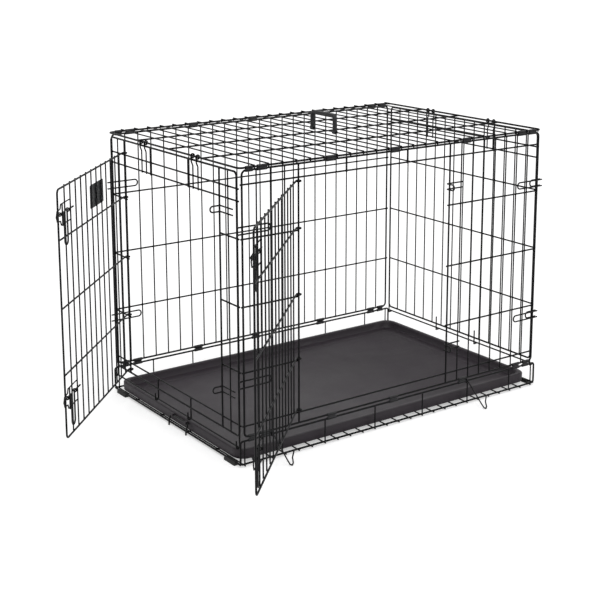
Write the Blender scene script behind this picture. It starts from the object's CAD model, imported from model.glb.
import math
import bmesh
import bpy
from mathutils import Matrix, Vector


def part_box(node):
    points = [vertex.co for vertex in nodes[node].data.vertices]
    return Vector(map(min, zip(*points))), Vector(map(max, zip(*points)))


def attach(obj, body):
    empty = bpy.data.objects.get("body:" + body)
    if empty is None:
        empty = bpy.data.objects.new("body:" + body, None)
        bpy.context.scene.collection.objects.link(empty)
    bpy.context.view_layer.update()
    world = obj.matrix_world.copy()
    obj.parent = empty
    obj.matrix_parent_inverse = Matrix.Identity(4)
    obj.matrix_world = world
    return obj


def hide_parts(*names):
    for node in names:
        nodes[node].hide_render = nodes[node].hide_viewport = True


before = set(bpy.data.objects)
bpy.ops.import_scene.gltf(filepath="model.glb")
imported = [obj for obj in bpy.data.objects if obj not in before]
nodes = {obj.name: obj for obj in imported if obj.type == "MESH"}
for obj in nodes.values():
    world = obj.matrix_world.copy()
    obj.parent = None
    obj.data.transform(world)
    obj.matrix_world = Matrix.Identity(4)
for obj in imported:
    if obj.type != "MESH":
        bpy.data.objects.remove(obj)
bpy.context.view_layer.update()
scene = bpy.context.scene
print("crate loaded:", len(nodes), "nodes")


def newGroup(name, inputs, outputs):
    group = bpy.data.node_groups.new(name, "ShaderNodeTree")
    for label, kind, value in inputs:
        socket = group.interface.new_socket(name=label, in_out="INPUT", socket_type=kind)
        if value is not None:
            socket.default_value = value
    for label, kind in outputs:
        group.interface.new_socket(name=label, in_out="OUTPUT", socket_type=kind)
    start = group.nodes.new("NodeGroupInput")
    end = group.nodes.new("NodeGroupOutput")
    return group, start, end


def noiseNode(tree, vector, scale, detail, roughness=0.55):
    node = tree.nodes.new("ShaderNodeTexNoise")
    node.inputs["Detail"].default_value = detail
    node.inputs["Roughness"].default_value = roughness
    tree.links.new(vector, node.inputs["Vector"])
    if isinstance(scale, (int, float)):
        node.inputs["Scale"].default_value = scale
    else:
        tree.links.new(scale, node.inputs["Scale"])
    return node


def mathNode(tree, operation, first, second, clamp=False):
    node = tree.nodes.new("ShaderNodeMath")
    node.operation = operation
    node.use_clamp = clamp
    for socket, value in zip(node.inputs, (first, second)):
        if isinstance(value, (int, float)):
            socket.default_value = value
        else:
            tree.links.new(value, socket)
    return node.outputs[0]


def rangeNode(tree, value, fromLow, fromHigh, toLow, toHigh):
    node = tree.nodes.new("ShaderNodeMapRange")
    settings = {"Value": value, "From Min": fromLow, "From Max": fromHigh, "To Min": toLow, "To Max": toHigh}
    for label, item in settings.items():
        if isinstance(item, (int, float)):
            node.inputs[label].default_value = item
        else:
            tree.links.new(item, node.inputs[label])
    return node.outputs["Result"]


# the span of a noise's values that each pattern spreads from none to full
patternSpan = {"mottle": (0.3, 0.7), "facing": (0.2, 1.0), "dust": (0.42, 0.75), "scratch": (0.66, 0.72)}


def makeMottle():
    # slow change of tone over a surface, between two values
    inputs = [("Vector", "NodeSocketVector", None), ("Scale", "NodeSocketFloat", 20.0),
        ("Low", "NodeSocketFloat", 0.0), ("High", "NodeSocketFloat", 1.0)]
    group, start, end = newGroup("mottle", inputs, [("Value", "NodeSocketFloat")])
    noise = noiseNode(group, start.outputs["Vector"], start.outputs["Scale"], 5.0)
    low, high = start.outputs["Low"], start.outputs["High"]
    value = rangeNode(group, noise.outputs["Fac"], *patternSpan["mottle"], low, high)
    group.links.new(value, end.inputs["Value"])
    return group


def makePeel():
    # the fine orange peel of a dipped coat, with a few slow runs in it
    inputs = [("Vector", "NodeSocketVector", None), ("Fine Scale", "NodeSocketFloat", 700.0),
        ("Run Scale", "NodeSocketFloat", 60.0), ("Runs", "NodeSocketFloat", 0.5)]
    group, start, end = newGroup("peel", inputs, [("Height", "NodeSocketFloat")])
    fine = noiseNode(group, start.outputs["Vector"], start.outputs["Fine Scale"], 3.0)
    slow = noiseNode(group, start.outputs["Vector"], start.outputs["Run Scale"], 2.0)
    weighted = mathNode(group, "MULTIPLY", slow.outputs["Fac"], start.outputs["Runs"])
    group.links.new(mathNode(group, "ADD", fine.outputs["Fac"], weighted), end.inputs["Height"])
    return group


def makeDust():
    # pale dust that settles on what faces up
    inputs = [("Vector", "NodeSocketVector", None), ("Scale", "NodeSocketFloat", 45.0),
        ("Amount", "NodeSocketFloat", 0.2)]
    group, start, end = newGroup("dust", inputs, [("Mask", "NodeSocketFloat")])
    geometry = group.nodes.new("ShaderNodeNewGeometry")
    split = group.nodes.new("ShaderNodeSeparateXYZ")
    group.links.new(geometry.outputs["Normal"], split.inputs[0])
    facing = rangeNode(group, split.outputs["Z"], *patternSpan["facing"], 0.0, 1.0)
    cloud = noiseNode(group, start.outputs["Vector"], start.outputs["Scale"], 8.0, 0.7)
    patch = rangeNode(group, cloud.outputs["Fac"], *patternSpan["dust"], 0.0, 1.0)
    settled = mathNode(group, "MULTIPLY", facing, patch)
    group.links.new(mathNode(group, "MULTIPLY", settled, start.outputs["Amount"], True), end.inputs["Mask"])
    return group


grainPattern = {"smoothness": 0.6, "wobble": 0.002, "wobbleScale": 240.0}


def makeGrain():
    # moulded plastic grain: small raised cells with soft valleys
    inputs = [("Vector", "NodeSocketVector", None), ("Cell Scale", "NodeSocketFloat", 500.0),
        ("Soft", "NodeSocketFloat", 0.3)]
    group, start, end = newGroup("grain", inputs, [("Height", "NodeSocketFloat")])
    cells = group.nodes.new("ShaderNodeTexVoronoi")
    cells.feature = "SMOOTH_F1"
    cells.inputs["Smoothness"].default_value = grainPattern["smoothness"]
    wobble = noiseNode(group, start.outputs["Vector"], grainPattern["wobbleScale"], 3.0)
    bent = group.nodes.new("ShaderNodeVectorMath")
    bent.operation = "MULTIPLY_ADD"
    bent.inputs[1].default_value = (grainPattern["wobble"],) * 3
    group.links.new(wobble.outputs["Color"], bent.inputs[0])
    group.links.new(start.outputs["Vector"], bent.inputs[2])
    group.links.new(bent.outputs[0], cells.inputs["Vector"])
    group.links.new(start.outputs["Cell Scale"], cells.inputs["Scale"])
    soft = mathNode(group, "MULTIPLY", wobble.outputs["Fac"], start.outputs["Soft"])
    group.links.new(mathNode(group, "ADD", cells.outputs["Distance"], soft), end.inputs["Height"])
    return group


# the turn of the scratches, and how thin they are drawn, in each direction
scratchSets = ((0.5, 34.0), (-0.9, 26.0))


def makeScuffs():
    # thin scratches in two slanting directions
    inputs = [("Vector", "NodeSocketVector", None), ("Density", "NodeSocketFloat", 9.0)]
    group, start, end = newGroup("scuffs", inputs, [("Mask", "NodeSocketFloat")])
    masks = []
    for turn, stretch in scratchSets:
        mapping = group.nodes.new("ShaderNodeMapping")
        mapping.inputs["Rotation"].default_value = (0.0, 0.0, turn)
        mapping.inputs["Scale"].default_value = (1.0, stretch, 1.0)
        group.links.new(start.outputs["Vector"], mapping.inputs["Vector"])
        lines = noiseNode(group, mapping.outputs["Vector"], start.outputs["Density"], 2.0)
        masks.append(rangeNode(group, lines.outputs["Fac"], *patternSpan["scratch"], 0.0, 1.0))
    group.links.new(mathNode(group, "MAXIMUM", masks[0], masks[1]), end.inputs["Mask"])
    return group


mottleGroup = makeMottle()
peelGroup = makePeel()
dustGroup = makeDust()
grainGroup = makeGrain()
scuffGroup = makeScuffs()


def placeGroup(tree, group, vector, **values):
    node = tree.nodes.new("ShaderNodeGroup")
    node.node_tree = group
    tree.links.new(vector, node.inputs["Vector"])
    for label, value in values.items():
        node.inputs[label.replace("_", " ")].default_value = value
    return node.outputs[0]


def mixColour(tree, factor, first, second):
    node = tree.nodes.new("ShaderNodeMix")
    node.data_type = "RGBA"
    tree.links.new(factor, node.inputs["Factor"])
    for socket, value in ((node.inputs[6], first), (node.inputs[7], second)):
        if isinstance(value, tuple):
            socket.default_value = (*value, 1.0)
        else:
            tree.links.new(value, socket)
    return node.outputs[2]


def newMaterial(name):
    material = bpy.data.materials.new(name)
    material.use_nodes = True
    tree = material.node_tree
    tree.nodes.clear()
    output = tree.nodes.new("ShaderNodeOutputMaterial")
    shader = tree.nodes.new("ShaderNodeBsdfPrincipled")
    tree.links.new(shader.outputs[0], output.inputs[0])
    coordinates = tree.nodes.new("ShaderNodeTexCoord")
    return material, tree, shader, coordinates.outputs["Object"]


def addBump(tree, shader, height, strength, distance):
    bump = tree.nodes.new("ShaderNodeBump")
    bump.inputs["Strength"].default_value = strength
    bump.inputs["Distance"].default_value = distance
    tree.links.new(height, bump.inputs["Height"])
    tree.links.new(bump.outputs["Normal"], shader.inputs["Normal"])


def coatedWire(name, look):
    # black dipped coat on steel wire
    material, tree, shader, place = newMaterial(name)
    tone = placeGroup(tree, mottleGroup, place, Scale=look["toneScale"], Low=0.0, High=1.0)
    dust = placeGroup(tree, dustGroup, place, Scale=look["dustScale"], Amount=look["dust"])
    base = mixColour(tree, tone, look["dark"], look["light"])
    tree.links.new(mixColour(tree, dust, base, look["dustColour"]), shader.inputs["Base Color"])
    gloss = placeGroup(tree, mottleGroup, place, Scale=look["toneScale"] * 3, Low=look["smooth"],
        High=look["rough"])
    dulled = mathNode(tree, "MULTIPLY", dust, look["dustDulls"])
    tree.links.new(mathNode(tree, "ADD", gloss, dulled, True), shader.inputs["Roughness"])
    height = placeGroup(tree, peelGroup, place, Fine_Scale=look["peelScale"], Run_Scale=look["runScale"],
        Runs=look["runs"])
    addBump(tree, shader, height, look["peel"], look["peelDepth"])
    shader.inputs["Specular IOR Level"].default_value = look["specular"]
    return material


def mouldedPlastic(name, look):
    # grained black plastic with light scuffs and dust
    material, tree, shader, place = newMaterial(name)
    tone = placeGroup(tree, mottleGroup, place, Scale=look["toneScale"], Low=0.0, High=1.0)
    dust = placeGroup(tree, dustGroup, place, Scale=look["dustScale"], Amount=look["dust"])
    scuffs = placeGroup(tree, scuffGroup, place, Density=look["scuffScale"])
    base = mixColour(tree, tone, look["dark"], look["light"])
    scuffed = mixColour(tree, mathNode(tree, "MULTIPLY", scuffs, look["scuff"]), base, look["scuffColour"])
    tree.links.new(mixColour(tree, dust, scuffed, look["dustColour"]), shader.inputs["Base Color"])
    gloss = placeGroup(tree, mottleGroup, place, Scale=look["toneScale"] * 2, Low=look["smooth"],
        High=look["rough"])
    dulled = mathNode(tree, "MULTIPLY", scuffs, look["scuffDulls"])
    tree.links.new(mathNode(tree, "ADD", gloss, dulled, True), shader.inputs["Roughness"])
    height = placeGroup(tree, grainGroup, place, Cell_Scale=look["grainScale"], Soft=look["soft"])
    addBump(tree, shader, height, look["grain"], look["grainDepth"])
    shader.inputs["Specular IOR Level"].default_value = look["specular"]
    return material


wireLook = {
    "dark": (0.003, 0.003, 0.0035), "light": (0.007, 0.007, 0.0078), "toneScale": 14.0,
    "dustColour": (0.08, 0.077, 0.074), "dust": 0.03, "dustScale": 80.0, "dustDulls": 0.5,
    "smooth": 0.30, "rough": 0.46, "specular": 0.09,
    "peelScale": 650.0, "peel": 0.16, "peelDepth": 0.0003, "runScale": 90.0, "runs": 0.6}
boltLook = dict(wireLook, light=(0.008, 0.008, 0.0088), smooth=0.24, rough=0.40, specular=0.16)
plasticLook = {
    "dark": (0.009, 0.009, 0.010), "light": (0.018, 0.018, 0.020), "toneScale": 22.0,
    "dustColour": (0.16, 0.15, 0.145), "dust": 0.08, "dustScale": 60.0,
    "scuffColour": (0.07, 0.07, 0.07), "scuff": 0.35, "scuffScale": 16.0, "scuffDulls": 0.12,
    "smooth": 0.46, "rough": 0.60, "specular": 0.3,
    "grainScale": 900.0, "grain": 0.18, "grainDepth": 0.0004, "soft": 0.35}
panLook = dict(plasticLook, dark=(0.0175, 0.0135, 0.0172), light=(0.0265, 0.0205, 0.0264), toneScale=3.0,
    dustColour=(0.12, 0.108, 0.117), dust=0.10, dustScale=7.0,
    scuffColour=(0.09, 0.085, 0.09), scuff=0.30, scuffScale=6.0,
    smooth=0.42, rough=0.56, specular=0.26, grainScale=420.0, grain=0.22)
rubberLook = dict(plasticLook, dark=(0.010, 0.010, 0.010), light=(0.018, 0.018, 0.018),
    smooth=0.6, rough=0.75, grainScale=1200.0)
plateLook = dict(plasticLook, dark=(0.016, 0.017, 0.018), light=(0.028, 0.029, 0.031), grainScale=700.0)
handleLook = dict(plasticLook, grainScale=620.0, grain=0.26, scuff=0.5)

wireCoat = coatedWire("satinWireCoat", wireLook)
boltCoat = coatedWire("boltCoat", boltLook)
clipPlastic = mouldedPlastic("clipPlastic", plasticLook)
platePlastic = mouldedPlastic("platePlastic", plateLook)
handlePlastic = mouldedPlastic("handlePlastic", handleLook)
panPlastic = mouldedPlastic("panPlastic", panLook)
footRubber = mouldedPlastic("footRubber", rubberLook)
print("materials made")

nodeFinish = {
    "base_grid": wireCoat, "feet": footRubber, "plastic_pan": panPlastic, "pan_bail": boltCoat,
    "near_side_panel": wireCoat, "far_side_panel": wireCoat, "roof_panel": wireCoat,
    "door_end_panel": wireCoat, "plain_end_panel": wireCoat,
    "side_door_staples": boltCoat, "end_door_staples": boltCoat,
    "near_roof_clips": clipPlastic, "far_roof_clips": clipPlastic,
    "near_base_clips": clipPlastic, "far_base_clips": clipPlastic,
    "end_door": wireCoat, "side_door": wireCoat, "name_plate": platePlastic,
    "end_door_upper_bolt": boltCoat, "end_door_lower_bolt": boltCoat,
    "side_door_upper_bolt": boltCoat, "side_door_lower_bolt": boltCoat,
    "carry_handle": handlePlastic, "left_transport_hook": boltCoat, "right_transport_hook": boltCoat}
for name, material in nodeFinish.items():
    slots = nodes[name].data.materials
    slots.clear()
    slots.append(material)
print("finishes set on the crate's own pieces")


def finishPiece(name, shape, body, material, stands=()):
    bmesh.ops.recalc_face_normals(shape, faces=shape.faces[:])
    mesh = bpy.data.meshes.new(name)
    shape.to_mesh(mesh)
    shape.free()
    for face in mesh.polygons:
        face.use_smooth = True
    mesh.materials.append(material)
    piece = bpy.data.objects.new(name, mesh)
    scene.collection.objects.link(piece)
    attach(piece, body)
    if stands:
        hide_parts(*stands)
    return piece


def addModifier(piece, kind, **values):
    modifier = piece.modifiers.new(kind.lower(), kind)
    for label, value in values.items():
        setattr(modifier, label, value)


def roundEdges(piece, width, segments=2, angle=30.0):
    addModifier(piece, "BEVEL", width=width, segments=segments, limit_method="ANGLE",
        angle_limit=math.radians(angle))


def ofKind(items, kind):
    return [item for item in items if isinstance(item, kind)]


def extrudeFaces(shape, faces, step):
    # draws faces out by a step and gives back the new end faces
    grown = bmesh.ops.extrude_face_region(shape, geom=faces)["geom"]
    bmesh.ops.translate(shape, vec=step, verts=ofKind(grown, bmesh.types.BMVert))
    return ofKind(grown, bmesh.types.BMFace)


def turnAbout(shape, verts, degrees, axis):
    matrix = Matrix.Rotation(math.radians(degrees), 3, axis)
    bmesh.ops.rotate(shape, cent=(0, 0, 0), matrix=matrix, verts=verts)


def addBlock(shape, size, place):
    block = bmesh.ops.create_cube(shape, size=1.0)["verts"]
    bmesh.ops.scale(shape, vec=size, verts=block)
    bmesh.ops.translate(shape, vec=place, verts=block)


def roundedFace(shape, halfX, halfY, radius, steps):
    # one level face with round corners, about the origin
    verts = bmesh.ops.create_grid(shape, x_segments=1, y_segments=1, size=0.5)["verts"]
    bmesh.ops.scale(shape, vec=(2 * halfX, 2 * halfY, 1.0), verts=verts)
    bmesh.ops.bevel(shape, geom=verts, offset=radius, offset_type="OFFSET", segments=steps, profile=0.5,
        affect="VERTICES", material=-1)
    return shape.faces[:]


# the pan, drawn from its floor out over its border and rim and down its skirt:
# each profile point is an inset from the outer wall and a height
panShape = {
    "corner": 0.030, "cornerSteps": 7, "doorEdge": -0.533, "floorInset": 0.053, "floorHeight": 0.0142,
    "thickness": 0.0022,
    "profile": (
        (0.0495, 0.0168), (0.048, 0.0172), (0.0205, 0.0172), (0.018, 0.0178), (0.0162, 0.0196),
        (0.0146, 0.0352), (0.0138, 0.0378), (0.0124, 0.0392), (0.0108, 0.0396), (0.0044, 0.0396),
        (0.0022, 0.0391), (0.0007, 0.0378), (0.0, 0.0358), (0.0006, 0.0152), (0.0011, 0.0130),
        (0.0024, 0.0120))}


def buildPan():
    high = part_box("plastic_pan")[1]
    centre = Vector(((high.x + panShape["doorEdge"]) / 2, 0.0, 0.0))
    halfX, halfY = (high.x - panShape["doorEdge"]) / 2, high.y
    shape = bmesh.new()
    inset = panShape["floorInset"]
    roundedFace(shape, halfX - inset, halfY - inset, panShape["corner"], panShape["cornerSteps"])
    bmesh.ops.translate(shape, vec=(0, 0, panShape["floorHeight"]), verts=shape.verts[:])
    edges = [edge for edge in shape.edges if edge.is_boundary]
    for nextInset, height in panShape["profile"]:
        grown = bmesh.ops.extrude_edge_only(shape, edges=edges)["geom"]
        verts = ofKind(grown, bmesh.types.BMVert)
        edges = ofKind(grown, bmesh.types.BMEdge)
        factor = ((halfX - nextInset) / (halfX - inset), (halfY - nextInset) / (halfY - inset), 1.0)
        bmesh.ops.scale(shape, vec=factor, verts=verts)
        bmesh.ops.translate(shape, vec=(0, 0, height - verts[0].co.z), verts=verts)
        inset = nextInset
    bmesh.ops.translate(shape, vec=centre, verts=shape.verts[:])
    pan = finishPiece("panShell", shape, "pan", panPlastic, ("plastic_pan",))
    addModifier(pan, "SOLIDIFY", thickness=panShape["thickness"], offset=-1.0, use_even_offset=True)


# the two ears on the pan's end wall that hold the bail: a ring and a web to the wall
earShape = {
    "width": 0.010, "outer": 0.0051, "inner": 0.0031, "steps": 20, "bailDrop": 0.0026, "bailEdge": 0.0125,
    "webDepth": 0.0036, "webHeight": 0.0060, "webOut": 0.0005, "webDrop": 0.0002, "edge": 0.0006}


def buildEars():
    low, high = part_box("pan_bail")
    axisX, axisZ = high.x - earShape["bailDrop"], high.z - earShape["bailDrop"]
    width, steps = earShape["width"], earShape["steps"]
    shape = bmesh.new()
    for y in (low.y + earShape["bailEdge"], high.y - earShape["bailEdge"]):
        ring = []
        for radius in (earShape["outer"], earShape["inner"]):
            ring += bmesh.ops.create_circle(shape, cap_ends=False, radius=radius, segments=steps)["verts"]
        turnAbout(shape, ring, 90.0, "X")
        bmesh.ops.translate(shape, vec=(axisX, y - width / 2, axisZ), verts=ring)
        loops = list({edge for vert in ring for edge in vert.link_edges})
        band = bmesh.ops.bridge_loops(shape, edges=loops)["faces"]
        extrudeFaces(shape, band, (0, width, 0))
        addBlock(shape, (earShape["webDepth"], width, earShape["webHeight"]),
            (panShape["doorEdge"] - earShape["webOut"], y, axisZ - earShape["webDrop"]))
    ears = finishPiece("panEars", shape, "pan", panPlastic)
    roundEdges(ears, earShape["edge"])


buildPan()
buildEars()
print("pan built")

# the carry handle, a strap bent over two corners with a hub at each foot
handleShape = {
    "halfSpan": 0.0557, "width": 0.0128, "thick": 0.0083, "corner": 0.0024, "cornerSteps": 4,
    "bend": 0.0128, "bendSteps": 8, "hub": 0.0064, "hubWidth": 0.0135, "bore": 0.0026,
    "footBore": 0.0027, "foot": 0.0063, "footTop": 0.0070, "overlap": 0.001, "axisRise": 0.0065,
    "steps": 32, "edge": 0.0008}


def circlePoints(radius):
    angles = [2 * math.pi * i / handleShape["steps"] for i in range(handleShape["steps"])]
    return [(radius * math.cos(angle), radius * math.sin(angle)) for angle in angles]


def boredBlock(shape, outline, bore, width, place):
    # a flat outline round the wire's bore, drawn out along Y
    count = handleShape["steps"]
    rings = []
    for y in (-width / 2, width / 2):
        for points in (outline, circlePoints(bore)):
            rings.append([shape.verts.new(place + Vector((x, y, z))) for x, z in points])
    nearOuter, nearInner, farOuter, farInner = rings
    loop = (nearOuter, nearInner, farInner, farOuter, nearOuter)
    for i in range(count):
        j = (i + 1) % count
        for a, b in zip(loop, loop[1:]):
            shape.faces.new((a[i], a[j], b[j], b[i]))


def footPoints():
    # a round foot that is cut level where the strap stands on it
    points = []
    for x, z in circlePoints(handleShape["foot"]):
        if z > 0:
            reach = min(handleShape["foot"] / max(abs(x), 1e-9), handleShape["footTop"] / z)
            x, z = reach * x, reach * z
        points.append((x, z))
    return points


def bendFaces(shape, faces, centre):
    # a quarter turn along the crate's length
    spun = bmesh.ops.spin(shape, geom=faces, cent=centre, axis=(1, 0, 0), dvec=(0, 0, 0), angle=-math.pi / 2,
        steps=handleShape["bendSteps"], use_duplicate=False)
    return ofKind(spun["geom_last"], bmesh.types.BMFace)


def buildHandle():
    low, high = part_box("carry_handle")
    axis = Vector(((low.x + high.x) / 2, 0.0, low.z + handleShape["axisRise"]))
    half, bend = handleShape["halfSpan"], handleShape["bend"]
    start = axis.z + handleShape["footTop"] - handleShape["overlap"]
    top = high.z - handleShape["thick"] / 2
    shape = bmesh.new()
    roundedFace(shape, handleShape["width"] / 2, handleShape["thick"] / 2, handleShape["corner"],
        handleShape["cornerSteps"])
    bmesh.ops.translate(shape, vec=(axis.x, -half, start), verts=shape.verts[:])
    end = extrudeFaces(shape, shape.faces[:], (0, 0, top - bend - start))
    end = bendFaces(shape, end, (axis.x, -half + bend, top - bend))
    end = extrudeFaces(shape, end, (0, 2 * (half - bend), 0))
    end = bendFaces(shape, end, (axis.x, half - bend, top - bend))
    extrudeFaces(shape, end, (0, 0, start + bend - top))
    inside = [face for face in shape.faces if all(len(edge.link_faces) > 2 for edge in face.edges)]
    bmesh.ops.delete(shape, geom=inside, context="FACES_ONLY")
    for side in (-1, 1):
        place = Vector((axis.x, side * half, axis.z))
        hub = circlePoints(handleShape["hub"])
        boredBlock(shape, hub, handleShape["bore"], handleShape["hubWidth"], place)
        boredBlock(shape, footPoints(), handleShape["footBore"], handleShape["thick"], place)
    handle = finishPiece("carryStrap", shape, "handle", handlePlastic, ("carry_handle",))
    roundEdges(handle, handleShape["edge"])


buildHandle()
print("carry handle built")

# the snap-on clips along the top and bottom rims, two open sleeves joined by a web
clipShape = {
    "length": 0.0294, "inner": 0.00295, "outer": 0.0045, "skin": 0.00455, "slit": 26.0, "steps": 20,
    "web": 0.0044, "webInset": 0.003, "webGap": 0.0001, "edge": 0.0005, "edgeAngle": 40.0,
    "firstRod": -0.526, "bay": 0.0438333, "bays": (0, 1, 6, 11, 17, 22, 23), "roofShift": 0.004}


def snapSleeve(shape, inner, outer, length, slit, steps):
    # an open sleeve along X, its slit facing +Y
    before = set(shape.verts)
    verts = bmesh.ops.create_grid(shape, x_segments=1, y_segments=1, size=0.5)["verts"]
    bmesh.ops.scale(shape, vec=(length, outer - inner, 1.0), verts=verts)
    bmesh.ops.translate(shape, vec=(0, (outer + inner) / 2, 0), verts=verts)
    turnAbout(shape, verts, slit / 2, "X")
    faces = list({face for vert in verts for face in vert.link_faces})
    bmesh.ops.spin(shape, geom=faces, cent=(0, 0, 0), axis=(1, 0, 0), dvec=(0, 0, 0),
        angle=math.radians(360 - slit), steps=steps, use_duplicate=False)
    return [vert for vert in shape.verts if vert not in before]


def buildClips(node, name, side, shift):
    low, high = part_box(node)
    inner, outer = clipShape["inner"], clipShape["outer"]
    pitch = high.z - low.z - 2 * clipShape["skin"]
    shape = bmesh.new()
    for bay in clipShape["bays"]:
        middle = clipShape["firstRod"] + (bay + 0.5) * clipShape["bay"] - shift
        start = max(middle - clipShape["length"] / 2, low.x)
        stop = min(middle + clipShape["length"] / 2, high.x)
        place = Vector(((start + stop) / 2, (low.y + high.y) / 2, (low.z + high.z) / 2))
        for level in (-0.5, 0.5):
            sleeve = snapSleeve(shape, inner, outer, stop - start, clipShape["slit"], clipShape["steps"])
            bmesh.ops.scale(shape, vec=(1, side, 1), verts=sleeve)
            bmesh.ops.translate(shape, vec=place + Vector((0, 0, level * pitch)), verts=sleeve)
        webHeight = pitch - 2 * (inner + clipShape["webGap"])
        addBlock(shape, (stop - start - 2 * clipShape["webInset"], clipShape["web"], webHeight), place)
    clips = finishPiece(name, shape, "crate", clipPlastic, (node,))
    roundEdges(clips, clipShape["edge"], angle=clipShape["edgeAngle"])


buildClips("near_roof_clips", "nearRoofSleeves", -1, clipShape["roofShift"])
buildClips("far_roof_clips", "farRoofSleeves", 1, clipShape["roofShift"])
buildClips("near_base_clips", "nearBaseSleeves", -1, 0.0)
buildClips("far_base_clips", "farBaseSleeves", 1, 0.0)
print("clips built")

# the bare name plate, held to two door wires by its four sleeves, and where the door hangs
plateShape = {
    "width": 0.108, "height": 0.065, "thick": 0.0024, "corner": 0.0046, "cornerSteps": 5, "back": 0.0122,
    "rim": 0.0036, "rimSlope": 0.0005, "recess": 0.0007, "ribs": 5, "ribRadius": 0.00105, "ribSteps": 14,
    "ribInset": 0.0065, "ribRise": 0.0002, "sleeveInner": 0.00215, "sleeveOuter": 0.0037, "slit": 60.0,
    "sleeveSteps": 18, "wires": (-0.0306, 0.0112), "wireOut": 0.0099, "middle": 0.218,
    "doorX": -0.534, "doorY": 0.261, "turn": -135.0, "edge": 0.0004, "edgeAngle": 40.0}


def addRibs(shape, width, height):
    radius = plateShape["ribRadius"]
    lift = plateShape["thick"] - plateShape["recess"] + plateShape["ribRise"]
    for rib in range(plateShape["ribs"]):
        bar = bmesh.ops.create_cone(shape, cap_ends=True, segments=plateShape["ribSteps"], radius1=radius,
            radius2=radius, depth=width - 2 * plateShape["ribInset"])["verts"]
        turnAbout(shape, bar, 90.0, "Y")
        level = (rib + 1) / (plateShape["ribs"] + 1) - 0.5
        bmesh.ops.translate(shape, vec=(0, level * height, lift), verts=bar)


def buildPlate():
    low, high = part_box("name_plate")
    width, height, back = plateShape["width"], plateShape["height"], plateShape["back"]
    shape = bmesh.new()
    face = roundedFace(shape, width / 2, height / 2, plateShape["corner"], plateShape["cornerSteps"])
    front = extrudeFaces(shape, face, (0, 0, plateShape["thick"]))
    bmesh.ops.recalc_face_normals(shape, faces=shape.faces[:])
    bmesh.ops.inset_region(shape, faces=front, thickness=plateShape["rim"], use_even_offset=True)
    bmesh.ops.inset_region(shape, faces=front, thickness=plateShape["rimSlope"], depth=-plateShape["recess"],
        use_even_offset=True)
    addRibs(shape, width, height)
    for wire in plateShape["wires"]:
        for level in (-0.25, 0.25):
            sleeve = snapSleeve(shape, plateShape["sleeveInner"], plateShape["sleeveOuter"], height / 6,
                plateShape["slit"], plateShape["sleeveSteps"])
            turnAbout(shape, sleeve, -90.0, "X")
            turnAbout(shape, sleeve, 90.0, "Z")
            bmesh.ops.translate(shape, vec=(wire, level * height, plateShape["wireOut"] - back), verts=sleeve)
    onDoor = Matrix.Translation((plateShape["middle"], -back, (low.z + high.z) / 2))
    upright = onDoor @ Matrix.Rotation(math.pi / 2, 4, "X")
    door = Matrix.Translation((plateShape["doorX"], plateShape["doorY"], 0))
    door = door @ Matrix.Rotation(math.radians(plateShape["turn"]), 4, "Z")
    bmesh.ops.transform(shape, matrix=door @ upright, verts=shape.verts[:])
    plate = finishPiece("barePlate", shape, "end_door_leaf", platePlastic, ("name_plate",))
    roundEdges(plate, plateShape["edge"], angle=plateShape["edgeAngle"])


buildPlate()
print("name plate built")

# the rubber feet, taken from the crate's own and rounded at their edges
footShape = {"edge": 0.0009, "edgeSteps": 3, "edgeAngle": 35.0, "weld": 1e-6, "flat": 1.0}


def copyNode(name):
    # a copy of one of the crate's own pieces, with flat faces in one
    shape = bmesh.new()
    shape.from_mesh(nodes[name].data)
    bmesh.ops.remove_doubles(shape, verts=shape.verts[:], dist=footShape["weld"])
    bmesh.ops.dissolve_limit(shape, angle_limit=math.radians(footShape["flat"]), verts=shape.verts[:],
        edges=shape.edges[:], delimit=set())
    return shape


def buildFeet():
    feet = finishPiece("softFeet", copyNode("feet"), "crate", footRubber, ("feet",))
    roundEdges(feet, footShape["edge"], footShape["edgeSteps"], footShape["edgeAngle"])


buildFeet()
print("feet built")


def seenStraight(tree):
    # one for what the camera sees, or what a reflection shows
    path = tree.nodes.new("ShaderNodeLightPath")
    mirrored = mathNode(tree, "MAXIMUM", path.outputs["Is Glossy Ray"], path.outputs["Is Transmission Ray"])
    return mathNode(tree, "MAXIMUM", path.outputs["Is Camera Ray"], mirrored)


def stageMaterial(name, colour, lift):
    # a pale floor: plain to light, and lifted towards white where it is seen
    material = bpy.data.materials.new(name)
    material.use_nodes = True
    tree = material.node_tree
    tree.nodes.clear()
    output = tree.nodes.new("ShaderNodeOutputMaterial")
    diffuse = tree.nodes.new("ShaderNodeBsdfDiffuse")
    diffuse.inputs["Color"].default_value = (*colour, 1.0)
    glow = tree.nodes.new("ShaderNodeEmission")
    tree.links.new(mathNode(tree, "MULTIPLY", seenStraight(tree), lift), glow.inputs["Strength"])
    both = tree.nodes.new("ShaderNodeAddShader")
    tree.links.new(diffuse.outputs[0], both.inputs[0])
    tree.links.new(glow.outputs[0], both.inputs[1])
    tree.links.new(both.outputs[0], output.inputs[0])
    return material


stageShape = {"floorSize": 60.0, "floorColour": (0.78, 0.78, 0.78), "floorLift": 0.46, "ambient": 0.55}


def buildFloor():
    shape = bmesh.new()
    bmesh.ops.create_grid(shape, x_segments=1, y_segments=1, size=stageShape["floorSize"])
    mesh = bpy.data.meshes.new("floor")
    shape.to_mesh(mesh)
    shape.free()
    mesh.materials.append(stageMaterial("paleFloor", stageShape["floorColour"], stageShape["floorLift"]))
    floor = bpy.data.objects.new("floor", mesh)
    scene.collection.objects.link(floor)


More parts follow.
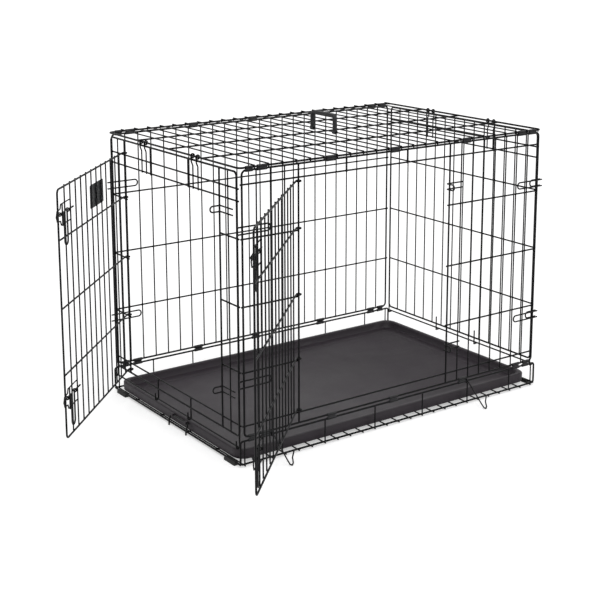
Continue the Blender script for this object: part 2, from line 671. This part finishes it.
def buildWorld(ambient):
    world = bpy.data.worlds.new("studio")
    scene.world = world
    world.use_nodes = True
    tree = world.node_tree
    tree.nodes.clear()
    output = tree.nodes.new("ShaderNodeOutputWorld")
    background = tree.nodes.new("ShaderNodeBackground")
    background.inputs["Color"].default_value = (1.0, 1.0, 1.0, 1.0)
    tree.links.new(rangeNode(tree, seenStraight(tree), 0.0, 1.0, ambient, 1.0), background.inputs["Strength"])
    tree.links.new(background.outputs[0], output.inputs[0])


def addSun(name, direction, strength, angle):
    light = bpy.data.lights.new(name, "SUN")
    light.energy = strength
    light.angle = math.radians(angle)
    lamp = bpy.data.objects.new(name, light)
    lamp.rotation_euler = Vector(direction).to_track_quat("-Z", "Y").to_euler()
    scene.collection.objects.link(lamp)


cameraView = {
    "azimuth": -35.09, "elevation": 11.52, "roll": -0.17, "distance": 3.8697, "right": 0.0897, "up": -0.2192,
    "lens": 76.59, "sensor": 36.0, "shiftX": 0.0069, "shiftY": -0.1875, "aim": (0.0, 0.0, 0.408)}


def buildCamera(view):
    azimuth, elevation, roll = (math.radians(view[key]) for key in ("azimuth", "elevation", "roll"))
    flat = math.cos(elevation)
    back = Vector((math.sin(azimuth) * flat, -math.cos(azimuth) * flat, math.sin(elevation)))
    level = Vector((math.cos(azimuth), math.sin(azimuth), 0.0))
    rise = back.cross(level)
    right = level * math.cos(roll) + rise * math.sin(roll)
    up = rise * math.cos(roll) - level * math.sin(roll)
    camera = bpy.data.objects.new("camera", bpy.data.cameras.new("camera"))
    camera.data.lens = view["lens"]
    camera.data.sensor_width = view["sensor"]
    camera.data.shift_x = view["shiftX"]
    camera.data.shift_y = view["shiftY"]
    turned = Matrix((right, up, back)).transposed().to_4x4()
    place = Vector(view["aim"]) - right * view["right"] - up * view["up"] + back * view["distance"]
    camera.matrix_world = Matrix.Translation(place) @ turned
    scene.collection.objects.link(camera)
    scene.camera = camera


buildFloor()
buildWorld(stageShape["ambient"])
addSun("key", (0.45, 0.55, -1.0), 1.1, 50.0)  # from above the near left
addSun("fill", (-0.8, 0.5, -0.5), 0.5, 70.0)  # from the near right, low
buildCamera(cameraView)
scene.view_settings.view_transform = "Standard"
print("floor, light and camera set")
